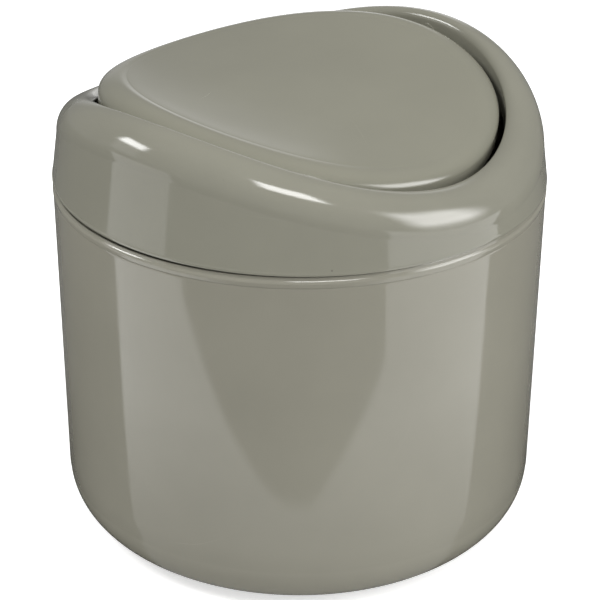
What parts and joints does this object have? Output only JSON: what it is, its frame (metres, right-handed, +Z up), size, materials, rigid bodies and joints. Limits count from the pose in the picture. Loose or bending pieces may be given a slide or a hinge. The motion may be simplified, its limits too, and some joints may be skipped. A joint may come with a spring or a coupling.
{
  "type": "kitchen compost bin",
  "caption": "Small round countertop compost bin in glossy grey plastic: tapered bucket, lift-off lid ring with a saddle-shaped rolled crest, and a swinging flap on pivot pins.",
  "frame": {"origin": "centre of the base, on the surface the bin stands on", "axes": "+Z up; +X along the flap's pivot axis, between the lid's two high points; -Y is the front, where the lid is low"},
  "size_m": [0.1412, 0.1412, 0.1382],
  "materials": {
    "body_plastic": "glossy warm grey moulded plastic",
    "lid_plastic": "glossy warm grey moulded plastic",
    "flap_plastic": "glossy warm grey moulded plastic",
    "pin_plastic": "satin warm grey moulded plastic"
  },
  "bodies": {
    "bucket": {"bin_body": "body_plastic"},
    "lid": {"lid_ring": "lid_plastic"},
    "flap": {"swing_flap": "flap_plastic", "left_pivot_pin": "pin_plastic", "right_pivot_pin": "pin_plastic"}
  },
  "joints": [
    {"name": "lid_lift", "type": "slide", "parent": "bucket", "child": "lid", "axis": [0, 0, 1], "range_m": [0, 0.06]},
    {"name": "flap_swing", "type": "hinge", "parent": "lid", "child": "flap", "pos_m": [0, 0.00013, 0.1319], "axis": [1, 0, 0], "range_deg": [-80, 80]}
  ]
}
